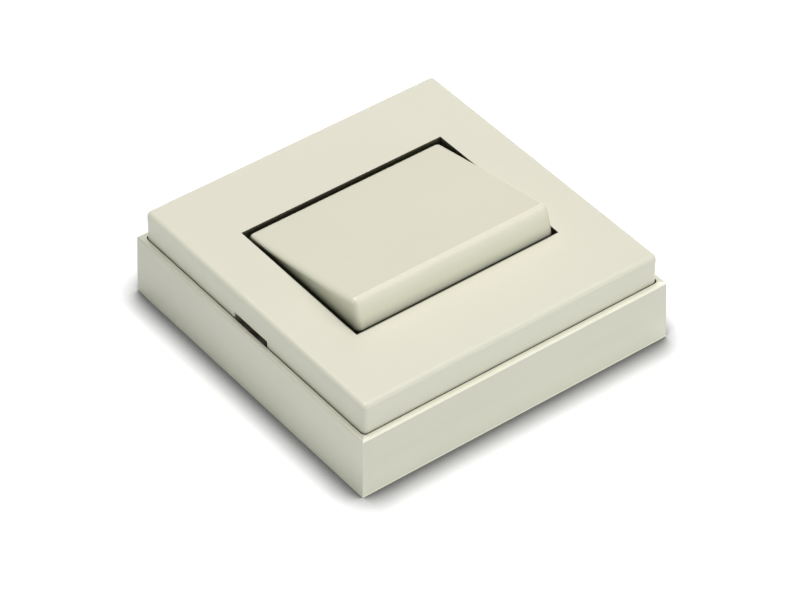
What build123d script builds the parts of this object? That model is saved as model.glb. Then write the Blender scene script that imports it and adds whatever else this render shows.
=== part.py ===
from build123d import *
import os
from math import asin, cos, degrees, radians, sin, sqrt, tan

# A one-gang, two-way light switch for surface mounting: a shallow mounting box, a cover plate
# that snaps into its rim, and a wide rocker over a seesaw contact.
# Millimetres. Origin: centre of the back face that lies on the wall. +Z points out of the wall,
# +X runs along the rocker's hinge axis and +Y up the wall. The rocker rests pressed at +Y.

os.makedirs("parts", exist_ok=True)

# Mounting box
box_side = 80.0
box_height = 15.0
box_draft = 1.7
box_corner_r = 0.2
rim_width = 1.18
rim_edge_r = 0.4
cavity_corner_r = 1.0
floor_thick = 2.4
back_rim = 3.0
back_recess = 0.8
skirt_overlap = 2.4
seat_rib_depth = 2.4
seat_rib_width = 3.0
seat_rib_out = 32.0
seat_rib_in = 8.0
fixing_pitch = 60.0
slot_width = 4.4
slot_length = 9.0
slot_boss_wall = 2.3
window_length = 20.0
window_width = 12.0
window_corner_r = 3.0
window_x = 20.0
window_y = 29.0
entry_width = 14.0
entry_height = 8.6
entry_x = 20.0
entry_depth = 0.6
post_pitch = 60.0
post_r = 3.4
catch_y = 18.0
catch_width = 10.0
catch_depth = 1.7
catch_height = 1.9
catch_drop = 3.8
pry_bar_thick = 1.4
pry_web_small = 1.6
pry_gap_small = 1.0
pry_web_wide = 3.6
pry_gap_wide = 3.2
pry_web_mid = 2.6
pry_group_top = 9.5

# Cover plate
plate_rise = 7.3
plate_gap = 0.2
plate_draft = 0.4
plate_corner_r = 1.1
plate_edge_r = 1.2
plate_wall = 1.8
plate_skin = 2.0
opening_length = 52.5
opening_depth = 40.0
collar_wall = 1.4
collar_depth = 4.8
notch_width = 11.4
notch_y = 0.3
notch_rise = 1.5
snap_width = 8.0
snap_thick = 1.4
snap_nose = 1.2
snap_nose_height = 1.3
snap_play = 0.2
snap_flex = 0.6

# Rocker and its hinge
rest_tilt = 11.0
hinge_drop = 2.05
rocker_rise = 5.2
rocker_skirt = 2.8
rocker_gap = 0.55
rocker_end_gap = 0.95
rocker_end_draft = 2.2
rocker_skin = 1.7
rocker_wall = 1.7
rocker_edge_r = 1.3
rocker_corner_r = 1.4
stop_rib_v = 12.0
stop_rib_thick = 1.2
stop_rib_drop = 3.7
stop_play = 0.25
prong_x = 9.0
prong_thick = 1.6
prong_width = 5.0
prong_hook = 0.6
fit_play = 0.1

# Rocker carrier, plunger and spring
carrier_plate = 1.8
carrier_depth = 14.0
cheek_x = 15.8
cheek_thick = 2.4
trunnion_r = 1.8
trunnion_play = 0.05
trunnion_wall = 1.05
guide_r = 3.0
guide_reach = 5.5
plunger_r = 1.6
plunger_play = 0.1
plunger_back = 3.2
plunger_clear = 0.1
spring_wire_r = 0.2
spring_turns = 5

# Switch base, bearing cover and support frame
base_length = 40.0
base_height = 8.6
base_wall = 2.6
base_floor = 2.0
base_corner_r = 1.0
base_clear = 1.8
chamber_length = 25.0
frame_thick = 1.2
frame_arm_width = 14.0
frame_margin = 1.0
frame_end = 3.8
cover_slab = 1.5
ear_thick = 2.8
ear_play = 0.3
ear_foot = 8.0
stop_pad_length = 12.0
stop_pad_thick = 1.6
rivet_inset = 3.0
rivet_y = 11.5
rivet_r = 1.2
rivet_head_r = 2.1
rivet_head = 0.8
rivet_head_round = 0.4

# Contacts and terminals
lever_tilt = 8.0
lever_width = 6.0
lever_thick = 0.8
lever_mid = 1.3
lever_end_gap = 0.9
pivot_r = 0.8
pivot_play = 0.05
post_rise = 1.0
saddle_width = 3.2
contact_r = 1.6
contact_head = 0.8
contact_shank_r = 0.75
contact_gap = 0.05
strip_thick = 0.8
strip_width = 5.0
strip_lap = 1.0
tab_width = 3.8
terminal_x = 9.0
block_width = 7.0
block_length = 6.5
block_height = 6.2
block_gap = 0.2
wire_r = 1.5
wire_rise = 2.8
bay_wall = 1.3
bay_play = 0.1
clamp_thread_r = 1.25
clamp_head_r = 2.4
clamp_head = 1.6
clamp_head_round = 0.4
clamp_lift = 0.3
clamp_bite = 0.8
slot_cut_width = 0.8
slot_cut_depth = 0.7
mech_thread_r = 1.45
mech_head_r = 2.9
mech_head = 1.9
mech_head_round = 0.6
mech_reach = 6.5
thread_play = 0.05

# Heights above the wall
seat_z = box_height - skirt_overlap
plate_top = box_height + plate_rise
hinge_z = plate_top - hinge_drop
frame_z = floor_thick + base_height
slab_z = frame_z + frame_thick
slab_top = slab_z + cover_slab
chamber_z = floor_thick + base_floor
strip_top = chamber_z + strip_thick
pivot_z = strip_top + post_rise

# Half sizes and places in plan
cavity_half = box_side / 2 - box_height * tan(radians(box_draft)) - rim_width
plate_half = cavity_half - plate_gap
rocker_r = opening_depth / 2 - rocker_gap
rocker_half_top = opening_length / 2 - rocker_end_gap
rocker_half_foot = rocker_half_top + (rocker_rise + rocker_skirt) * tan(radians(rocker_end_draft))
base_half = rocker_r - rocker_wall - base_clear
rivet_x = base_length / 2 - rivet_inset
chamber_half = base_half - base_wall
skin_under = rocker_rise - rocker_skin
carrier_under = skin_under - carrier_plate
ear_x = cheek_x + ear_play

# The seesaw lever's profile, in the hinge-normal plane through its pivot
lever_half = chamber_half - lever_end_gap
contact_arm = lever_half - contact_r
lever_sin = sin(radians(lever_tilt))
lever_cos = cos(radians(lever_tilt))
lever_top = lever_mid + lever_thick / 2 / lever_cos
lever_under = lever_mid - lever_thick / 2 / lever_cos
lever_lift = lever_half * tan(radians(lever_tilt))
plunger_centre = lever_top + (plunger_r + plunger_clear) / lever_cos
plunger_reach = hinge_z - pivot_z - plunger_centre

# Working planes: the rocker as it rests, its cross-section and its end, and the lever's section
rocker_up = (0, sin(radians(rest_tilt)), cos(radians(rest_tilt)))
rocker_plane = Plane(origin=(0, 0, hinge_z), x_dir=(1, 0, 0), z_dir=rocker_up)
rocker_axis = Axis(rocker_plane.origin, rocker_plane.z_dir)
rocker_section = Plane(origin=(0, 0, hinge_z), x_dir=rocker_plane.y_dir, z_dir=(1, 0, 0))
rocker_end = Plane(origin=(0, 0, hinge_z), x_dir=(1, 0, 0), z_dir=-rocker_plane.y_dir)
lever_section = Plane(origin=(0, 0, pivot_z), x_dir=(0, lever_cos, lever_sin), z_dir=(1, 0, 0))


def rocker_profile(radius, top, foot):
    """Cross-section of the rocker: flat top, flanks on an arc about the hinge, straight skirts."""
    angle = degrees(asin(top / radius))
    edge = sqrt(radius**2 - top**2)
    with BuildSketch() as profile:
        with BuildLine():
            Line((-edge, top), (edge, top))
            CenterArc((0, 0), radius, 0, angle)
            Line((radius, 0), (radius, -foot))
            Line((radius, -foot), (-radius, -foot))
            Line((-radius, -foot), (-radius, 0))
            CenterArc((0, 0), radius, 180 - angle, angle)
        make_face()
    return profile.sketch


def lever_plane(side, height):
    """Plane on one arm of the lever at the contact's place, its normal pointing up off the arm."""
    along = (side * lever_cos, lever_sin)
    up = (-side * lever_sin, lever_cos)
    local = Vector(
        contact_arm * along[0] + height * up[0],
        lever_mid + contact_arm * along[1] + height * up[1],
        0,
    )
    origin = lever_section.from_local_coords(local)
    foot = lever_section.from_local_coords(local - Vector(up[0], up[1], 0))
    return Plane(origin=origin, x_dir=(1, 0, 0), z_dir=origin - foot)


# Mounting box: drafted square tray with rim, floor, posts and ribs
with BuildPart() as mounting_box:
    with BuildSketch():
        RectangleRounded(box_side, box_side, box_corner_r)
    extrude(amount=box_height, taper=box_draft)
    fillet(mounting_box.faces().sort_by(Axis.Z)[-1].edges(), rim_edge_r)
    with BuildSketch(Plane.XY.offset(floor_thick)):
        RectangleRounded(2 * cavity_half, 2 * cavity_half, cavity_corner_r)
    extrude(amount=box_height - floor_thick, mode=Mode.SUBTRACT)
    # Hollowed back, with full-depth bosses left round the fixing slots
    with BuildSketch():
        RectangleRounded(box_side - 2 * back_rim, box_side - 2 * back_rim, back_rim)
        with Locations((0, fixing_pitch / 2), (0, -fixing_pitch / 2)):
            SlotOverall(
                slot_length + 2 * slot_boss_wall,
                slot_width + 2 * slot_boss_wall,
                rotation=90,
                mode=Mode.SUBTRACT,
            )
    extrude(amount=back_recess, mode=Mode.SUBTRACT)
    # Ribs that the cover plate's skirt stands on
    with BuildSketch(Plane.XY.offset(floor_thick)):
        rib_centre = cavity_half - seat_rib_depth / 2
        for place in (-seat_rib_out, -seat_rib_in, seat_rib_in, seat_rib_out):
            with Locations((place, rib_centre), (place, -rib_centre)):
                Rectangle(seat_rib_width, seat_rib_depth)
            with Locations((rib_centre, place)):
                Rectangle(seat_rib_depth, seat_rib_width)
        with Locations((-rib_centre, seat_rib_out), (-rib_centre, -seat_rib_out)):
            Rectangle(seat_rib_depth, seat_rib_width)
        # Lever bar behind the pry notch, tied to the wall by three webs
        web_top = pry_group_top
        for web, gap in (
            (pry_web_small, pry_gap_small),
            (pry_web_wide, pry_gap_wide),
            (pry_web_mid, 0),
        ):
            with Locations((-rib_centre, web_top - web / 2)):
                Rectangle(seat_rib_depth, web)
            web_top = web_top - web - gap
        with Locations((-cavity_half + seat_rib_depth + pry_bar_thick / 2, (pry_group_top + web_top) / 2)):
            Rectangle(pry_bar_thick, pry_group_top - web_top)
    extrude(amount=seat_z - floor_thick)
    # Posts for the mechanism's screws
    with BuildSketch(Plane.XY.offset(floor_thick)):
        with Locations((post_pitch / 2, 0), (-post_pitch / 2, 0)):
            Circle(post_r)
    extrude(amount=base_height)
    with BuildSketch(Plane.XY.offset(frame_z)):
        with Locations((post_pitch / 2, 0), (-post_pitch / 2, 0)):
            Circle(mech_thread_r + thread_play)
    extrude(amount=-(mech_reach + fit_play), mode=Mode.SUBTRACT)
    # Catches for the cover plate's snap arms
    with BuildSketch(Plane.XY.offset(seat_z - catch_drop)):
        for side in (-1, 1):
            with Locations(
                (side * (cavity_half - catch_depth / 2), catch_y),
                (side * (cavity_half - catch_depth / 2), -catch_y),
            ):
                Rectangle(catch_depth, catch_width)
    extrude(amount=catch_height)
    # Fixing slots and cable windows through the floor
    with BuildSketch():
        with Locations((0, fixing_pitch / 2), (0, -fixing_pitch / 2)):
            SlotOverall(slot_length, slot_width, rotation=90)
        with Locations((window_x, window_y), (-window_x, window_y)):
            RectangleRounded(window_length, window_width, window_corner_r)
    extrude(amount=floor_thick, mode=Mode.SUBTRACT)
    # Thinned break-out cable entries, on the inside of the upper and lower walls
    for side in (-1, 1):
        entry_face = Plane(
            origin=(0, side * cavity_half, floor_thick), x_dir=(-side, 0, 0), z_dir=(0, side, 0)
        )
        with BuildSketch(entry_face):
            for place in (-entry_x, entry_x):
                with Locations((place, (entry_height - entry_width / 2) / 2)):
                    Rectangle(entry_width, entry_height - entry_width / 2)
                with Locations((place, entry_height - entry_width / 2)):
                    Circle(entry_width / 2)
            with Locations((0, -entry_width)):
                Rectangle(box_side, 2 * entry_width, mode=Mode.SUBTRACT)
        extrude(amount=entry_depth, mode=Mode.SUBTRACT)
mounting_box.part.label = "mounting_box"
export_step(mounting_box.part, "parts/mounting_box.step")


# Cover plate: shell with rounded top edge, rocker opening with its collar, notch and snap arms
with BuildPart() as cover_plate:
    with BuildSketch(Plane.XY.offset(seat_z)):
        RectangleRounded(2 * plate_half, 2 * plate_half, plate_corner_r)
    extrude(amount=plate_top - seat_z, taper=plate_draft)
    fillet(cover_plate.faces().sort_by(Axis.Z)[-1].edges(), plate_edge_r)
    inner_half = plate_half - plate_wall
    under_z = plate_top - plate_skin
    with BuildSketch(Plane.XY.offset(seat_z)):
        RectangleRounded(2 * inner_half, 2 * inner_half, plate_corner_r)
    extrude(amount=under_z - seat_z, mode=Mode.SUBTRACT)
    with BuildSketch(Plane.XY.offset(plate_top - collar_depth)):
        Rectangle(opening_length + 2 * collar_wall, opening_depth + 2 * collar_wall)
    extrude(amount=collar_depth - plate_skin)
    with BuildSketch(Plane.XY.offset(plate_top - collar_depth)):
        Rectangle(opening_length, opening_depth)
    extrude(amount=collar_depth, mode=Mode.SUBTRACT)
    # Pry notch in the skirt, open at the foot
    with BuildSketch(Plane.XY.offset(seat_z)):
        with Locations((-plate_half, notch_y)):
            Rectangle(4 * plate_wall, notch_width)
    extrude(amount=skirt_overlap + notch_rise, mode=Mode.SUBTRACT)
    # Snap arms inside the left and right skirts, with noses that hook below the box's catches
    arm_outer = cavity_half - catch_depth - snap_flex
    nose_top = seat_z - catch_drop - snap_play
    nose_foot = nose_top - snap_nose_height
    for side in (-1, 1):
        for place in (-catch_y, catch_y):
            with BuildSketch(Plane.XZ.offset(-place)):
                with BuildLine():
                    Polyline(
                        (side * arm_outer, under_z),
                        (side * arm_outer, nose_top),
                        (side * (arm_outer + snap_nose), nose_top),
                        (side * arm_outer, nose_foot),
                        (side * (arm_outer - snap_thick), nose_foot),
                        (side * (arm_outer - snap_thick), under_z),
                        close=True,
                    )
                make_face()
            extrude(amount=snap_width / 2, both=True)
cover_plate.part.label = "cover_plate"
export_step(cover_plate.part, "parts/cover_plate.step")


# Rocker: hollow cap, stop ribs along its underside and two snap prongs for the carrier
outer_profile = rocker_profile(rocker_r, rocker_rise, rocker_skirt)
inner_profile = rocker_profile(rocker_r - rocker_wall, skin_under, rocker_skirt)
with BuildPart() as rocker:
    with BuildSketch(rocker_section):
        add(outer_profile)
    extrude(amount=rocker_half_foot, both=True)
    with BuildSketch(rocker_end):
        Polygon(
            (-rocker_half_top, rocker_rise),
            (rocker_half_top, rocker_rise),
            (rocker_half_foot, -rocker_skirt),
            (-rocker_half_foot, -rocker_skirt),
            align=None,
        )
    extrude(amount=2 * rocker_r, both=True, mode=Mode.INTERSECT)
    top_face = rocker.faces().sort_by(rocker_axis)[-1]
    foot_face = rocker.faces().sort_by(rocker_axis)[0]
    corner_edges = rocker.edges() - top_face.edges() - foot_face.edges() - rocker.edges().filter_by(Axis.X)
    fillet(corner_edges, rocker_corner_r)
    fillet(rocker.faces().sort_by(rocker_axis)[-1].edges(), rocker_edge_r)
    with BuildSketch(rocker_section):
        add(inner_profile)
    extrude(amount=rocker_half_top - rocker_wall, both=True, mode=Mode.SUBTRACT)
    with BuildSketch(rocker_plane.offset(skin_under)):
        with Locations((0, stop_rib_v), (0, -stop_rib_v)):
            Rectangle(2 * (rocker_half_top - rocker_wall), stop_rib_thick)
    extrude(amount=-stop_rib_drop)
    hook_w = carrier_under - fit_play
    for side in (-1, 1):
        with BuildSketch(rocker_end):
            Polygon(
                (side * prong_x, skin_under),
                (side * prong_x, hook_w),
                (side * (prong_x + prong_hook), hook_w),
                (side * prong_x, hook_w - 2 * prong_hook),
                (side * (prong_x - prong_thick), hook_w - 2 * prong_hook),
                (side * (prong_x - prong_thick), skin_under),
                align=None,
            )
        extrude(amount=prong_width / 2, both=True)
rocker.part.label = "rocker"
export_step(rocker.part, "parts/rocker.step")


# Rocker carrier: plate under the rocker, cheeks with trunnions, and the plunger's guide tube
with BuildPart() as rocker_carrier:
    with BuildSketch(rocker_plane.offset(carrier_under)):
        Rectangle(2 * cheek_x, carrier_depth)
        for side in (-1, 1):
            with Locations((side * (prong_x - (prong_thick - prong_hook) / 2), 0)):
                Rectangle(
                    prong_thick + prong_hook + 2 * fit_play,
                    prong_width + 2 * fit_play,
                    mode=Mode.SUBTRACT,
                )
    extrude(amount=carrier_plate)
    for side in (-1, 1):
        cheek_plane = Plane(
            origin=(side * (cheek_x - cheek_thick), 0, hinge_z),
            x_dir=rocker_plane.y_dir,
            z_dir=(side, 0, 0),
        )
        with BuildSketch(cheek_plane):
            Circle(trunnion_r + trunnion_wall)
        with BuildSketch(cheek_plane):
            with Locations((0, side * carrier_under / 2)):
                Rectangle(2 * (trunnion_r + trunnion_wall), carrier_under)
        extrude(amount=cheek_thick)
        with BuildSketch(cheek_plane.offset(cheek_thick)):
            Circle(trunnion_r)
        extrude(amount=ear_play + ear_thick)
    with BuildSketch(rocker_plane.offset(-guide_reach)):
        Circle(guide_r)
        Circle(plunger_r + plunger_play, mode=Mode.SUBTRACT)
    extrude(amount=guide_reach + carrier_under)
rocker_carrier.part.label = "rocker_carrier"
export_step(rocker_carrier.part, "parts/rocker_carrier.step")


# Plunger: round-nosed pin that presses on the lever beside its pivot
with BuildPart() as plunger:
    with BuildSketch(rocker_section):
        with BuildLine():
            Line((0, -plunger_back), (plunger_r, -plunger_back))
            Line((plunger_r, -plunger_back), (plunger_r, -plunger_reach))
            CenterArc((0, -plunger_reach), plunger_r, -90, 90)
            Line((0, -plunger_reach - plunger_r), (0, -plunger_back))
        make_face()
    revolve(axis=rocker_axis)
plunger.part.label = "plunger"
export_step(plunger.part, "parts/plunger.step")


# Plunger spring: open coil between the carrier's plate and the plunger's back
with BuildPart() as plunger_spring:
    coil_height = plunger_back + carrier_under - 2 * spring_wire_r - 2 * fit_play
    coil_plane = rocker_plane.offset(-plunger_back + spring_wire_r + fit_play)
    with BuildLine():
        coil = Helix(
            pitch=coil_height / spring_turns,
            height=coil_height,
            radius=plunger_r + plunger_play - 2 * spring_wire_r,
            center=coil_plane.origin,
            direction=coil_plane.z_dir,
        )
    with BuildSketch(Plane(origin=coil @ 0, z_dir=coil % 0)):
        Circle(spring_wire_r)
    sweep(path=coil, is_frenet=True)
plunger_spring.part.label = "plunger_spring"
export_step(plunger_spring.part, "parts/plunger_spring.step")


# Switch base: insulating tray with the contact chamber and three open terminal bays
terminals = ((-terminal_x, -1), (-terminal_x, 1), (terminal_x, 1))
block_start = base_half + block_gap
block_end = block_start + block_length
bay_end = block_end + bay_play
with BuildPart() as switch_base:
    with BuildSketch(Plane.XY.offset(floor_thick)):
        RectangleRounded(base_length, 2 * base_half, base_corner_r)
        for place, side in terminals:
            with Locations((place, side * bay_end / 2)):
                Rectangle(block_width + 2 * (bay_play + bay_wall), bay_end)
    extrude(amount=base_height)
    with BuildSketch(Plane.XY.offset(chamber_z)):
        RectangleRounded(chamber_length, 2 * chamber_half, base_corner_r)
        for place, side in terminals:
            with Locations((place, side * bay_end / 2)):
                Rectangle(strip_width + 2 * bay_play, bay_end)
            with Locations((place, side * (base_half + bay_end) / 2)):
                Rectangle(block_width + 2 * bay_play, bay_end - base_half)
    extrude(amount=base_height, mode=Mode.SUBTRACT)
    with BuildSketch(Plane.XY.offset(floor_thick)):
        with GridLocations(2 * rivet_x, 2 * rivet_y, 2, 2):
            Circle(rivet_r + thread_play)
    extrude(amount=base_height, mode=Mode.SUBTRACT)
    with BuildSketch(Plane.XY.offset(floor_thick)):
        with GridLocations(2 * rivet_x, 2 * rivet_y, 2, 2):
            Circle(rivet_head_r + fit_play)
    extrude(amount=rivet_head, mode=Mode.SUBTRACT)
switch_base.part.label = "switch_base"
export_step(switch_base.part, "parts/switch_base.step")


# Support frame: stamped bridge that carries the mechanism on the box's posts
with BuildPart() as support_frame:
    with BuildSketch(Plane.XY.offset(frame_z)):
        Rectangle(base_length - 2 * frame_margin, 2 * (base_half - frame_margin))
        SlotOverall(post_pitch + 2 * frame_end, frame_arm_width)
        Rectangle(chamber_length, 2 * chamber_half, mode=Mode.SUBTRACT)
        with Locations((post_pitch / 2, 0), (-post_pitch / 2, 0)):
            Circle(mech_thread_r + 2 * fit_play, mode=Mode.SUBTRACT)
        with GridLocations(2 * rivet_x, 2 * rivet_y, 2, 2):
            Circle(rivet_r + thread_play, mode=Mode.SUBTRACT)
    extrude(amount=frame_thick)
support_frame.part.label = "support_frame"
export_step(support_frame.part, "parts/support_frame.step")


# Bearing cover: lid of the contact chamber with the hinge ears, stop pads and plunger slot
with BuildPart() as bearing_cover:
    with BuildSketch(Plane.XY.offset(slab_z)):
        RectangleRounded(base_length, 2 * base_half, base_corner_r)
        plunger_sweep = (hinge_z - slab_z) * tan(radians(rest_tilt)) + plunger_r / cos(radians(rest_tilt))
        Rectangle(2 * (plunger_r + ear_play), 2 * (plunger_sweep + ear_play), mode=Mode.SUBTRACT)
        with GridLocations(2 * rivet_x, 2 * rivet_y, 2, 2):
            Circle(rivet_r + thread_play, mode=Mode.SUBTRACT)
    extrude(amount=cover_slab)
    ear_r = trunnion_r + trunnion_play + trunnion_wall
    for side in (-1, 1):
        ear_plane = Plane(origin=(side * ear_x, 0, 0), x_dir=(0, 1, 0), z_dir=(1, 0, 0))
        with BuildSketch(ear_plane):
            with BuildLine():
                rise = hinge_z - slab_top
                foot = Vector(ear_foot / 2, slab_top)
                crown = Vector(0, hinge_z)
                reach = (foot - crown).length
                lean = degrees(asin(ear_r / reach)) + degrees(asin(ear_foot / 2 / reach))
                touch = (ear_r * cos(radians(lean)), hinge_z + ear_r * sin(radians(lean)))
                Line(foot, touch)
                CenterArc((0, hinge_z), ear_r, lean, 180 - 2 * lean)
                Line((-touch[0], touch[1]), (-foot.X, foot.Y))
                Line((-foot.X, foot.Y), foot)
            make_face()
            with Locations((0, hinge_z)):
                Circle(trunnion_r + trunnion_play, mode=Mode.SUBTRACT)
        extrude(amount=side * ear_thick)
    # Pads that stop the rocker's ribs at each end of its travel
    tilt_sin = sin(radians(rest_tilt))
    tilt_cos = cos(radians(rest_tilt))
    rib_foot_w = skin_under - stop_rib_drop
    rib_edge_v = stop_rib_v + stop_rib_thick / 2
    stop_z = hinge_z - rib_edge_v * tilt_sin + rib_foot_w * tilt_cos - stop_play
    stop_y = stop_rib_v * tilt_cos + rib_foot_w * tilt_sin
    with BuildSketch(Plane.XY.offset(slab_top)):
        with Locations((0, stop_y), (0, -stop_y)):
            Rectangle(stop_pad_length, stop_pad_thick)
    extrude(amount=stop_z - slab_top)
bearing_cover.part.label = "bearing_cover"
export_step(bearing_cover.part, "parts/bearing_cover.step")


# Rivets through base, frame and bearing cover
with BuildPart() as housing_rivets:
    with BuildSketch(Plane.XY.offset(floor_thick)):
        with GridLocations(2 * rivet_x, 2 * rivet_y, 2, 2):
            Circle(rivet_r)
    extrude(amount=slab_top - floor_thick)
    with BuildSketch(Plane.XY.offset(floor_thick)):
        with GridLocations(2 * rivet_x, 2 * rivet_y, 2, 2):
            Circle(rivet_head_r)
    extrude(amount=rivet_head)
    with BuildSketch(Plane.XY.offset(slab_top)):
        with GridLocations(2 * rivet_x, 2 * rivet_y, 2, 2):
            Circle(rivet_head_r)
    extrude(amount=rivet_head)
    fillet(housing_rivets.faces().sort_by(Axis.Z)[-4:].edges(), rivet_head_round)
housing_rivets.part.label = "housing_rivets"
export_step(housing_rivets.part, "parts/housing_rivets.step")


# Screws that hold the support frame on the box's posts
with BuildPart() as mechanism_screws:
    with BuildSketch(Plane.XY.offset(slab_z)):
        with Locations((post_pitch / 2, 0), (-post_pitch / 2, 0)):
            Circle(mech_head_r)
    extrude(amount=mech_head)
    fillet(mechanism_screws.faces().sort_by(Axis.Z)[-2:].edges(), mech_head_round)
    with BuildSketch(Plane.XY.offset(slab_z)):
        with Locations((post_pitch / 2, 0), (-post_pitch / 2, 0)):
            Circle(mech_thread_r)
    extrude(amount=-(frame_thick + mech_reach))
    with BuildSketch(Plane.XY.offset(slab_z + mech_head)):
        with Locations((post_pitch / 2, 0), (-post_pitch / 2, 0)):
            Rectangle(2 * mech_head_r, slot_cut_width)
    extrude(amount=-slot_cut_depth, mode=Mode.SUBTRACT)
mechanism_screws.part.label = "mechanism_screws"
export_step(mechanism_screws.part, "parts/mechanism_screws.step")


def terminal_block(place, side):
    """Clamp block at the end of a strip, bored for the wire and tapped for its screw."""
    centre_y = side * (block_start + block_end) / 2
    with BuildPart() as block:
        with BuildSketch(Plane.XY.offset(chamber_z)):
            with Locations((place, centre_y)):
                Rectangle(block_width, block_length)
        extrude(amount=block_height)
        with BuildSketch(Plane.XZ.offset(-centre_y)):
            with Locations((place, chamber_z + wire_rise)):
                Circle(wire_r)
        extrude(amount=block_length, both=True, mode=Mode.SUBTRACT)
        with BuildSketch(Plane.XY.offset(chamber_z + block_height)):
            with Locations((place, centre_y)):
                Circle(clamp_thread_r + thread_play)
        extrude(amount=-(block_height - wire_rise), mode=Mode.SUBTRACT)
    return block.part


# Common terminal: strip under the lever with the rounded pivot post at its end
common_block = terminal_block(terminal_x, 1)
with BuildPart() as common_terminal:
    with BuildSketch(Plane.XY.offset(chamber_z)):
        with Locations(((terminal_x + strip_width / 2 - lever_width / 2) / 2, 0)):
            Rectangle(terminal_x + strip_width / 2 + lever_width / 2, strip_width)
        with Locations((terminal_x, (block_start + strip_lap) / 2)):
            Rectangle(strip_width, block_start + strip_lap)
    extrude(amount=strip_thick)
    add(common_block)
    with BuildSketch(Plane.YZ):
        with Locations((0, (strip_top + pivot_z) / 2)):
            Rectangle(2 * pivot_r, pivot_z - strip_top)
        with Locations((0, pivot_z)):
            Circle(pivot_r)
    extrude(amount=lever_width / 2, both=True)
common_terminal.part.label = "common_terminal"
export_step(common_terminal.part, "parts/common_terminal.step")


# Where the lever's pressed arm closes on its fixed contact
closed = lever_plane(-1, -lever_thick / 2)
contact_y = -closed.origin.Y
fixed_top = closed.origin.Z - contact_head - contact_gap


# Traveller terminals: strip from under the fixed contact to the clamp block
sides = ((1, -1), (2, 1))
for number, side in sides:
    traveller_block = terminal_block(-terminal_x, side)
    with BuildPart() as traveller_terminal:
        with BuildSketch(Plane.XY.offset(chamber_z)):
            with Locations((-terminal_x / 2, side * contact_y)):
                Rectangle(terminal_x + strip_width, tab_width)
            with Locations((-terminal_x, side * (contact_y + block_start + strip_lap) / 2)):
                Rectangle(strip_width, block_start + strip_lap - contact_y)
            with Locations((0, side * contact_y)):
                Circle(contact_shank_r + thread_play, mode=Mode.SUBTRACT)
        extrude(amount=strip_thick)
        add(traveller_block)
    traveller_terminal.part.label = f"traveller_terminal_{number}"
    export_step(traveller_terminal.part, f"parts/traveller_terminal_{number}.step")


# Clamp screws, backed off a little so that a wire can enter
with BuildPart() as terminal_screws:
    head_z = chamber_z + block_height + clamp_lift
    screw_places = [(place, side * (block_start + block_end) / 2) for place, side in terminals]
    with BuildSketch(Plane.XY.offset(head_z)):
        with Locations(*screw_places):
            Circle(clamp_head_r)
    extrude(amount=clamp_head)
    fillet(terminal_screws.faces().sort_by(Axis.Z)[-3:].edges(), clamp_head_round)
    with BuildSketch(Plane.XY.offset(head_z)):
        with Locations(*screw_places):
            Circle(clamp_thread_r)
    extrude(amount=-(head_z - chamber_z - wire_rise - wire_r + clamp_bite))
    with BuildSketch(Plane.XY.offset(head_z + clamp_head)):
        with Locations(*screw_places):
            Rectangle(2 * clamp_head_r, slot_cut_width)
    extrude(amount=-slot_cut_depth, mode=Mode.SUBTRACT)
terminal_screws.part.label = "terminal_screws"
export_step(terminal_screws.part, "parts/terminal_screws.step")


# Fixed contacts: silver rivets in the traveller strips
for number, side in sides:
    fixed_seat = Plane((0, side * contact_y, strip_top))
    with BuildPart() as fixed_contact:
        with BuildSketch(fixed_seat):
            Circle(contact_r)
        extrude(amount=fixed_top - strip_top)
        with BuildSketch(fixed_seat):
            Circle(contact_shank_r)
        extrude(amount=-strip_thick)
    fixed_contact.part.label = f"fixed_contact_{number}"
    export_step(fixed_contact.part, f"parts/fixed_contact_{number}.step")


# Contact lever: strip bent up at both arms by the tilt angle, with a grooved saddle on the post
with BuildPart() as contact_lever:
    with BuildSketch(lever_section):
        Polygon(
            (-lever_half, lever_top + lever_lift),
            (0, lever_top),
            (lever_half, lever_top + lever_lift),
            (lever_half, lever_under + lever_lift),
            (0, lever_under),
            (-lever_half, lever_under + lever_lift),
            align=None,
        )
        with Locations((0, lever_mid / 2)):
            Rectangle(saddle_width, lever_mid)
        Circle(pivot_r + pivot_play, mode=Mode.SUBTRACT)
    extrude(amount=lever_width / 2, both=True)
    for side in (-1, 1):
        with BuildSketch(lever_plane(side, -lever_thick)):
            Circle(contact_shank_r + thread_play)
        extrude(amount=2 * lever_thick, mode=Mode.SUBTRACT)
contact_lever.part.label = "contact_lever"
export_step(contact_lever.part, "parts/contact_lever.step")


# Moving contacts: silver rivets under the lever's arms
for number, side in sides:
    under_arm = lever_plane(side, -lever_thick / 2)
    moving_seat = Plane(under_arm.origin, under_arm.x_dir, -under_arm.z_dir)
    with BuildPart() as moving_contact:
        with BuildSketch(moving_seat):
            Circle(contact_r)
        extrude(amount=contact_head)
        with BuildSketch(moving_seat):
            Circle(contact_shank_r)
        extrude(amount=-lever_thick)
    moving_contact.part.label = f"moving_contact_{number}"
    export_step(moving_contact.part, f"parts/moving_contact_{number}.step")
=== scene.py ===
from math import cos, radians, sin

import bpy
from mathutils import Matrix, Vector

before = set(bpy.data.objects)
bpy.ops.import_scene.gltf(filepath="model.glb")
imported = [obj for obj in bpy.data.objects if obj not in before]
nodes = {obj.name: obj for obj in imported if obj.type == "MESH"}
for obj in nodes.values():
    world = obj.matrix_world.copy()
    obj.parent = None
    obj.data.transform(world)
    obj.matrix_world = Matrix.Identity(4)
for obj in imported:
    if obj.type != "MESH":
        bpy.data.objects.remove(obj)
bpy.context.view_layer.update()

# Camera, from the corners of the mounting box in the photograph. Lengths are metres.
image_width = 800
sensor_width = 36.0
focal_px = 3718.0
camera_azimuth = -37.386
camera_elevation = 41.425
camera_roll = -0.045
camera_distance = 0.78885
camera_right = 0.00002
camera_up = 0.002692
camera_near = 0.01

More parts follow.
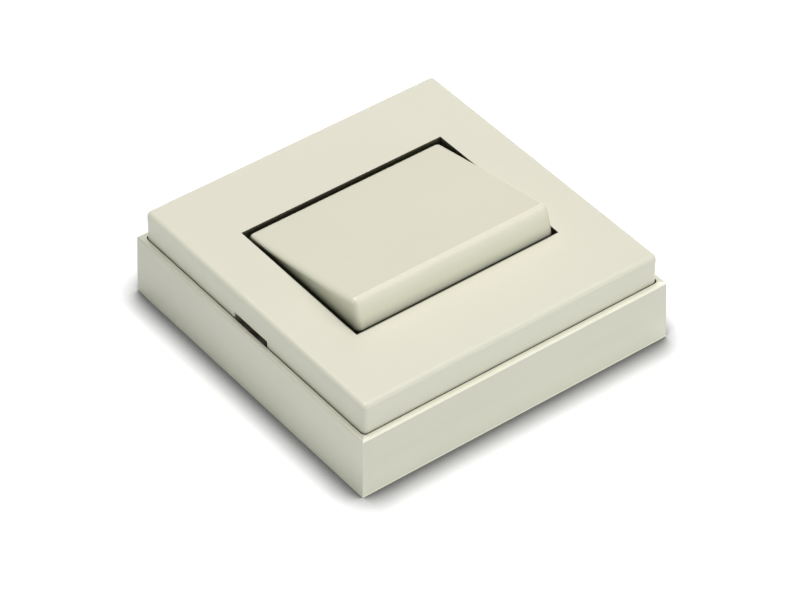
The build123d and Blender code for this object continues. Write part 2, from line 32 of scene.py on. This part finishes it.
# Colours of the mouldings, as they render under the plain studio light
plate_tone = (0.700, 0.680, 0.580)
plate_shade = (0.692, 0.674, 0.573)
rocker_tone = (0.680, 0.659, 0.549)
rocker_shade = (0.672, 0.652, 0.541)
carrier_tone = (0.62, 0.62, 0.58)
carrier_shade = (0.54, 0.54, 0.50)
base_tone = (0.040, 0.038, 0.036)
base_shade = (0.028, 0.027, 0.026)
zinc_tone = (0.62, 0.62, 0.60)
zinc_shade = (0.50, 0.50, 0.47)
spring_tone = (0.58, 0.58, 0.58)
spring_shade = (0.44, 0.44, 0.45)
brass_tone = (0.72, 0.50, 0.20)
brass_shade = (0.60, 0.39, 0.14)
silver_tone = (0.86, 0.86, 0.84)
silver_shade = (0.74, 0.74, 0.72)

# Unevenness of the surfaces. Scales are per metre, depths are metres.
blotch_range = (0.35, 0.62)
blotch_detail = 3.0
gloss_range = (0.3, 0.7)
gloss_detail = 4.0
grain_detail = 2.0
plastic_blotch_scale = 45
plastic_gloss_scale = 160
plastic_gloss_drift = (-0.01, 0.02)
plastic_grain_scale = 2400
plastic_ior = 1.5
metal_blotch_scale = 260
metal_gloss_scale = 420
metal_gloss_drift = (-0.03, 0.03)
metal_grain_scale = 2600
metal_grain_depth = 0.000004

# Painted shade in the gaps between the mouldings: how far they are felt, and how open they are at dark and at
# full colour
painted_gap_shade = (0.034, 0.034, 0.013)
gap_least = 0.04
gap_samples = 8
box_gap = (0.0026, 0.06, 0.32)
plate_gap = (0.0032, 0.22, 0.50)
rocker_gap = (0.0080, 0.44, 0.69)
inner_gap = (0.0035, 0.22, 0.44)
# Deeper painted shade inside the plate's opening and on the rocker's two ends
opening_half = (0.0264, 0.0202)
opening_gap = (0.46, 0.98)
rocker_end_gap = (0.48, 0.86)

# Painted highlight and painted light on the front of the rocker: how much paler it is, from its top (0) over
# the rounded edge to the flank (1)
top_lean = 0.20
flank_highlight_profile = ((0.015, 0.0), (0.05, 0.17), (0.20, 0.11), (0.45, 0.06), (0.75, 0.13), (1.0, 0.13))

# Painted light and shade on the outer walls of the box: how pale they are from the foot (0) to the rim (1),
# against an even value
wall_even = 0.5
wall_height = 0.015
wall_inside = 0.0385
wall_underside = -0.5
end_wall_shade_slope = -1.9
end_wall_shade_profile = ((0.0, 0.40), (0.30, 0.45), (0.62, 0.49), (0.96, 0.49), (0.975, 0.42), (1.0, 0.40))
front_wall_light_profile = (
    (0.0, 0.94),
    (0.018, 0.90),
    (0.035, 0.63),
    (0.23, 0.57),
    (0.5, 0.475),
    (0.96, 0.455),
    (0.974, 0.90),
    (1.0, 0.90),
)

# Studio
floor_tone = (0.955, 0.955, 0.98)
floor_lift = 0.20
# Painted shade on the floor around the part's foot: how far it reaches and how dark it gets
foot_reach = 0.0075
foot_samples = 12
foot_closed = 0.50
foot_shade = 0.10
floor_size = 6.0
floor_drop = 0.00004
world_tone = (0.97, 1.0, 0.97)
world_strength = 0.10
top_white = (1.0, 0.99, 0.965)
front_white = (1.0, 0.985, 0.95)
strip_white = (0.93, 1.0, 0.96)
left_white = (0.81, 1.0, 0.86)


def material(name):
    """An empty node material with its Principled shader."""
    made = bpy.data.materials.new(name)
    made.use_nodes = True
    tree = made.node_tree
    shader = tree.nodes["Principled BSDF"]
    return made, tree, shader


def feed(tree, socket, value):
    """Gives a socket a number or the link of another socket."""
    if isinstance(value, (int, float)):
        socket.default_value = value
    else:
        tree.links.new(value, socket)


def reckon(tree, operation, first, second=0.0):
    """Math node; both values may be numbers or sockets."""
    made = tree.nodes.new("ShaderNodeMath")
    made.operation = operation
    feed(tree, made.inputs[0], first)
    feed(tree, made.inputs[1], second)
    return made.outputs["Value"]


def map_range(tree, value, source, target):
    """Spreads a value from one range over another and holds it at the ends."""
    made = tree.nodes.new("ShaderNodeMapRange")
    for name, limit in zip(("From Min", "From Max", "To Min", "To Max"), (*source, *target)):
        feed(tree, made.inputs[name], limit)
    tree.links.new(value, made.inputs["Value"])
    return made.outputs["Result"]


def profile(tree, value, stops):
    """Value that changes with another one, straight from stop to stop."""
    ramp = tree.nodes.new("ShaderNodeValToRGB")
    elements = ramp.color_ramp.elements
    while len(elements) < len(stops):
        elements.new(1.0)
    for element, (position, level) in zip(elements, stops):
        element.position = position
        element.color = (level, level, level, 1)
    tree.links.new(value, ramp.inputs["Fac"])
    return ramp.outputs["Color"]


def parts_of(tree, kind):
    """X, Y and Z of the object's own place or normal."""
    place = tree.nodes.new("ShaderNodeTexCoord")
    split = tree.nodes.new("ShaderNodeSeparateXYZ")
    tree.links.new(place.outputs[kind], split.inputs["Vector"])
    return split.outputs["X"], split.outputs["Y"], split.outputs["Z"]


def noise(tree, scale, detail, stretch=(1, 1, 1)):
    """Noise in the object's own coordinates, so that it rides with its piece. Scale is per metre."""
    place = tree.nodes.new("ShaderNodeTexCoord")
    mapping = tree.nodes.new("ShaderNodeMapping")
    mapping.inputs["Scale"].default_value = stretch
    texture = tree.nodes.new("ShaderNodeTexNoise")
    texture.inputs["Scale"].default_value = scale
    texture.inputs["Detail"].default_value = detail
    tree.links.new(place.outputs["Object"], mapping.inputs["Vector"])
    tree.links.new(mapping.outputs["Vector"], texture.inputs["Vector"])
    return texture.outputs["Fac"]


def blotches(tree, shader, tone, shade, scale):
    """Slight change of colour from place to place, between two close tones."""
    ramp = tree.nodes.new("ShaderNodeValToRGB")
    for element, position, colour in zip(ramp.color_ramp.elements, blotch_range, (shade, tone)):
        element.position = position
        element.color = (*colour, 1)
    tree.links.new(noise(tree, scale, blotch_detail), ramp.inputs["Fac"])
    tree.links.new(ramp.outputs["Color"], shader.inputs["Base Color"])


def scale_colour(tree, shader, factor):
    """Base colour times a factor."""
    scaled = tree.nodes.new("ShaderNodeVectorMath")
    scaled.operation = "SCALE"
    tree.links.new(shader.inputs["Base Color"].links[0].from_socket, scaled.inputs["Vector"])
    tree.links.new(factor, scaled.inputs["Scale"])
    tree.links.new(scaled.outputs["Vector"], shader.inputs["Base Color"])


def paint_gap_shade(tree, shader, reach, limits):
    """Painted shade: darkens the narrow gaps between the mouldings, where little light gets in."""
    closed = tree.nodes.new("ShaderNodeAmbientOcclusion")
    closed.samples = gap_samples
    closed.inputs["Distance"].default_value = reach
    darker = tree.nodes.new("ShaderNodeMix")
    darker.data_type = "RGBA"
    darker.inputs["A"].default_value = (*painted_gap_shade, 1)
    tree.links.new(map_range(tree, closed.outputs["AO"], limits, (gap_least, 1.0)), darker.inputs["Factor"])
    tree.links.new(shader.inputs["Base Color"].links[0].from_socket, darker.inputs["B"])
    tree.links.new(darker.outputs["Result"], shader.inputs["Base Color"])


def limits_where(tree, where, elsewhere, there):
    """Limits of the darkening that go from one pair to another as the given value goes from 0 to 1."""
    return [map_range(tree, where, (0.0, 1.0), pair) for pair in zip(elsewhere, there)]


def opening_limits(tree):
    """Inside the plate's rocker opening the walls get a deeper painted shade."""
    x, y = parts_of(tree, "Object")[:2]
    within_x = reckon(tree, "LESS_THAN", reckon(tree, "ABSOLUTE", x), opening_half[0])
    within_y = reckon(tree, "LESS_THAN", reckon(tree, "ABSOLUTE", y), opening_half[1])
    return limits_where(tree, reckon(tree, "MULTIPLY", within_x, within_y), plate_gap[1:], opening_gap)


def rocker_end_limits(tree):
    """So do the rocker's two ends, which face along the hinge."""
    x = parts_of(tree, "Normal")[0]
    return limits_where(tree, reckon(tree, "ABSOLUTE", x), rocker_gap[1:], rocker_end_gap)


def paint_flank_highlight(tree, shader):
    """Painted highlight: the rocker's front flank and the rounded edge above it are painted a little paler
    than its top.
    """
    x, y = parts_of(tree, "Normal")[:2]
    forward = reckon(tree, "DIVIDE", reckon(tree, "SUBTRACT", top_lean, y), 1.0 + top_lean)
    not_end = reckon(tree, "SUBTRACT", 1.0, reckon(tree, "ABSOLUTE", x))
    lift = reckon(tree, "MULTIPLY", profile(tree, forward, flank_highlight_profile), not_end)
    scale_colour(tree, shader, reckon(tree, "ADD", lift, 1.0))


def paint_wall_light_and_shade(tree, shader):
    """The box's outer walls: a painted highlight along the front rim and painted light at its foot, painted
    shade at the foot and rim of the others, deeper towards the back.
    """
    x, y, z = parts_of(tree, "Object")
    up = parts_of(tree, "Normal")[2]
    across = reckon(tree, "ABSOLUTE", x)
    furthest = reckon(tree, "MAXIMUM", across, reckon(tree, "ABSOLUTE", y))
    outside = reckon(tree, "GREATER_THAN", furthest, wall_inside)
    outer = reckon(tree, "MULTIPLY", outside, reckon(tree, "GREATER_THAN", up, wall_underside))
    height = reckon(tree, "DIVIDE", z, wall_height)
    ends = reckon(tree, "ADD", profile(tree, height, end_wall_shade_profile), reckon(tree, "MULTIPLY", y, end_wall_shade_slope))
    in_front = reckon(tree, "GREATER_THAN", reckon(tree, "MULTIPLY", y, -1.0), across)
    side = tree.nodes.new("ShaderNodeMix")
    tree.links.new(in_front, side.inputs["Factor"])
    tree.links.new(ends, side.inputs["A"])
    tree.links.new(profile(tree, height, front_wall_light_profile), side.inputs["B"])
    change = reckon(tree, "MULTIPLY", reckon(tree, "SUBTRACT", side.outputs["Result"], wall_even), outer)
    scale_colour(tree, shader, reckon(tree, "ADD", change, 1.0))


def uneven_gloss(tree, shader, gloss, drift, scale, stretch=(1, 1, 1)):
    """Roughness that drifts a little about its value."""
    patches = noise(tree, scale, gloss_detail, stretch)
    roughness = map_range(tree, patches, gloss_range, (gloss + drift[0], gloss + drift[1]))
    tree.links.new(roughness, shader.inputs["Roughness"])


def grain(tree, shader, depth, scale, stretch=(1, 1, 1)):
    """Fine bump; depth is metres."""
    bump = tree.nodes.new("ShaderNodeBump")
    bump.inputs["Strength"].default_value = 1.0
    bump.inputs["Distance"].default_value = depth
    tree.links.new(noise(tree, scale, grain_detail, stretch), bump.inputs["Height"])
    tree.links.new(bump.outputs["Normal"], shader.inputs["Normal"])


def moulded_plastic(name, tone, shade, gloss, grain_depth, gap, limits=None, painted_light=None):
    """Moulded thermoplastic: near-even colour, satin gloss and the tool's fine spark grain, with painted
    shade in its gaps and any painted light given.
    """
    made, tree, shader = material(name)
    blotches(tree, shader, tone, shade, plastic_blotch_scale)
    # Painted shade in the gaps
    paint_gap_shade(tree, shader, gap[0], limits(tree) if limits else gap[1:])
    if painted_light:
        painted_light(tree, shader)
    uneven_gloss(tree, shader, gloss, plastic_gloss_drift, plastic_gloss_scale)
    grain(tree, shader, grain_depth, plastic_grain_scale)
    shader.inputs["IOR"].default_value = plastic_ior
    return made


def worked_metal(name, tone, shade, gloss, stretch):
    """Stamped, drawn or plated metal with streaks along one way."""
    made, tree, shader = material(name)
    blotches(tree, shader, tone, shade, metal_blotch_scale)
    uneven_gloss(tree, shader, gloss, metal_gloss_drift, metal_gloss_scale, stretch)
    grain(tree, shader, metal_grain_depth, metal_grain_scale, stretch)
    shader.inputs["Metallic"].default_value = 1.0
    return made


def dress(made, *names):
    """Puts a material on CAD nodes."""
    for name in names:
        nodes[name].data.materials.clear()
        nodes[name].data.materials.append(made)


dress(
    moulded_plastic(
        "box_ivory", plate_tone, plate_shade, gloss=0.31, grain_depth=0.000004, gap=box_gap, painted_light=paint_wall_light_and_shade
    ),
    "mounting_box",
)
dress(
    moulded_plastic(
        "plate_ivory",
        plate_tone,
        plate_shade,
        gloss=0.31,
        grain_depth=0.000004,
        gap=plate_gap,
        limits=opening_limits,
    ),
    "cover_plate",
)
dress(
    moulded_plastic(
        "rocker_ivory",
        rocker_tone,
        rocker_shade,
        gloss=0.30,
        grain_depth=0.000003,
        gap=rocker_gap,
        limits=rocker_end_limits,
        painted_light=paint_flank_highlight,
    ),
    "rocker",
)
dress(
    moulded_plastic(
        "natural_grey", carrier_tone, carrier_shade, gloss=0.42, grain_depth=0.000005, gap=inner_gap
    ),
    "rocker_carrier",
    "plunger",
)
dress(
    moulded_plastic(
        "insulating_black", base_tone, base_shade, gloss=0.50, grain_depth=0.000008, gap=inner_gap
    ),
    "switch_base",
    "bearing_cover",
)
dress(
    worked_metal("zinc_plated_steel", zinc_tone, zinc_shade, gloss=0.23, stretch=(1, 1, 1)),
    "support_frame",
    "housing_rivets",
    "mechanism_screws",
    "terminal_screws",
)
dress(
    worked_metal("drawn_spring_steel", spring_tone, spring_shade, gloss=0.20, stretch=(1, 1, 4)),
    "plunger_spring",
)
dress(
    worked_metal("stamped_brass", brass_tone, brass_shade, gloss=0.22, stretch=(0.25, 1, 1)),
    "common_terminal",
    "traveller_terminal_1",
    "traveller_terminal_2",
    "contact_lever",
)
dress(
    worked_metal("contact_silver", silver_tone, silver_shade, gloss=0.19, stretch=(1, 1, 1)),
    "fixed_contact_1",
    "fixed_contact_2",
    "moving_contact_1",
    "moving_contact_2",
)


def background_rays(tree):
    """1 for the rays that show the background: the camera's, glossy and transmitted ones."""
    seen = tree.nodes.new("ShaderNodeLightPath")
    either = reckon(tree, "ADD", seen.outputs["Is Camera Ray"], seen.outputs["Is Glossy Ray"])
    return reckon(tree, "ADD", either, seen.outputs["Is Transmission Ray"])


def build_floor():
    """White ground: it takes the part's shadow and is seen lifted to pure white, with painted shade at the
    foot.
    """
    bpy.ops.mesh.primitive_plane_add(size=floor_size, location=(0, 0, -floor_drop))
    floor = bpy.context.object
    floor.name = "studio_floor"
    made, tree, shader = material("studio_white")
    shader.inputs["Roughness"].default_value = 1.0
    shader.inputs["Specular IOR Level"].default_value = 0.0
    foot = tree.nodes.new("ShaderNodeAmbientOcclusion")
    foot.samples = foot_samples
    foot.inputs["Distance"].default_value = foot_reach
    bright = map_range(tree, foot.outputs["AO"], (foot_closed, 1.0), (foot_shade, 1.0))
    seen = background_rays(tree)
    shown = tree.nodes.new("ShaderNodeMix")
    shown.inputs["A"].default_value = 1.0
    tint = tree.nodes.new("ShaderNodeMix")
    tint.data_type = "RGBA"
    tint.inputs["A"].default_value = (0, 0, 0, 1)
    tint.inputs["B"].default_value = (*floor_tone, 1)
    tree.links.new(seen, shown.inputs["Factor"])
    tree.links.new(bright, shown.inputs["B"])
    tree.links.new(shown.outputs["Result"], tint.inputs["Factor"])
    tree.links.new(tint.outputs["Result"], shader.inputs["Base Color"])
    glow = tree.nodes.new("ShaderNodeEmission")
    lift = reckon(tree, "MULTIPLY", reckon(tree, "MULTIPLY", seen, floor_lift), bright)
    both = tree.nodes.new("ShaderNodeAddShader")
    tree.links.new(lift, glow.inputs["Strength"])
    tree.links.new(shader.outputs["BSDF"], both.inputs[0])
    tree.links.new(glow.outputs["Emission"], both.inputs[1])
    tree.links.new(both.outputs["Shader"], tree.nodes["Material Output"].inputs["Surface"])
    floor.data.materials.append(made)


def build_world():
    """Even fill; where the floor ends, plain white is seen."""
    world = bpy.data.worlds.new("studio_world")
    bpy.context.scene.world = world
    world.use_nodes = True
    tree = world.node_tree
    fill = tree.nodes["Background"]
    fill.inputs["Color"].default_value = (*world_tone, 1)
    fill.inputs["Strength"].default_value = world_strength
    white = tree.nodes.new("ShaderNodeBackground")
    white.inputs["Color"].default_value = (1, 1, 1, 1)
    white.inputs["Strength"].default_value = 1.0
    mix = tree.nodes.new("ShaderNodeMixShader")
    tree.links.new(background_rays(tree), mix.inputs["Fac"])
    tree.links.new(fill.outputs["Background"], mix.inputs[1])
    tree.links.new(white.outputs["Background"], mix.inputs[2])
    tree.links.new(mix.outputs["Shader"], tree.nodes["World Output"].inputs["Surface"])


def softbox(name, azimuth, elevation, distance, width, height, power, tone):
    """Area lamp aimed at the part. Azimuth is degrees from +X towards +Y."""
    lamp = bpy.data.lights.new(name, "AREA")
    lamp.shape = "RECTANGLE"
    lamp.size = width
    lamp.size_y = height
    lamp.energy = power
    lamp.color = tone
    holder = bpy.data.objects.new(name, lamp)
    bpy.context.scene.collection.objects.link(holder)
    aim = Vector((
        cos(radians(azimuth)) * cos(radians(elevation)),
        sin(radians(azimuth)) * cos(radians(elevation)),
        sin(radians(elevation)),
    ))
    holder.location = aim * distance
    holder.rotation_euler = aim.to_track_quat("Z", "Y").to_euler()


build_floor()
build_world()
softbox(
    "overhead", azimuth=70, elevation=79, distance=1.2, width=0.62, height=0.90, power=13.3, tone=top_white
)
softbox(
    "front_right", azimuth=-40, elevation=55, distance=1.3, width=0.5, height=0.5, power=2.2, tone=front_white
)
softbox(
    "front_strip", azimuth=-75, elevation=6, distance=1.4, width=1.2, height=0.16, power=6.4, tone=strip_white
)
softbox(
    "left_strip", azimuth=178, elevation=6, distance=1.4, width=1.2, height=0.16, power=3.15, tone=left_white
)


def build_camera():
    """Camera on the photograph's line of sight, with its roll and offset."""
    azimuth = radians(camera_azimuth)
    elevation = radians(camera_elevation)
    back = Vector((sin(azimuth) * cos(elevation), -cos(azimuth) * cos(elevation), sin(elevation)))
    right = Vector((0, 0, 1)).cross(back).normalized()
    up = back.cross(right)
    roll = radians(camera_roll)
    rolled_right = right * cos(roll) + up * sin(roll)
    rolled_up = up * cos(roll) - right * sin(roll)
    place = back * camera_distance + rolled_right * camera_right + rolled_up * camera_up
    camera = bpy.data.cameras.new("photo_camera")
    camera.sensor_width = sensor_width
    camera.lens = focal_px / image_width * sensor_width
    camera.clip_start = camera_near
    holder = bpy.data.objects.new("photo_camera", camera)
    bpy.context.scene.collection.objects.link(holder)
    turn = Matrix((rolled_right, rolled_up, back)).transposed().to_4x4()
    holder.matrix_world = Matrix.Translation(place) @ turn
    bpy.context.scene.camera = holder


build_camera()
bpy.context.scene.view_settings.view_transform = "Standard"
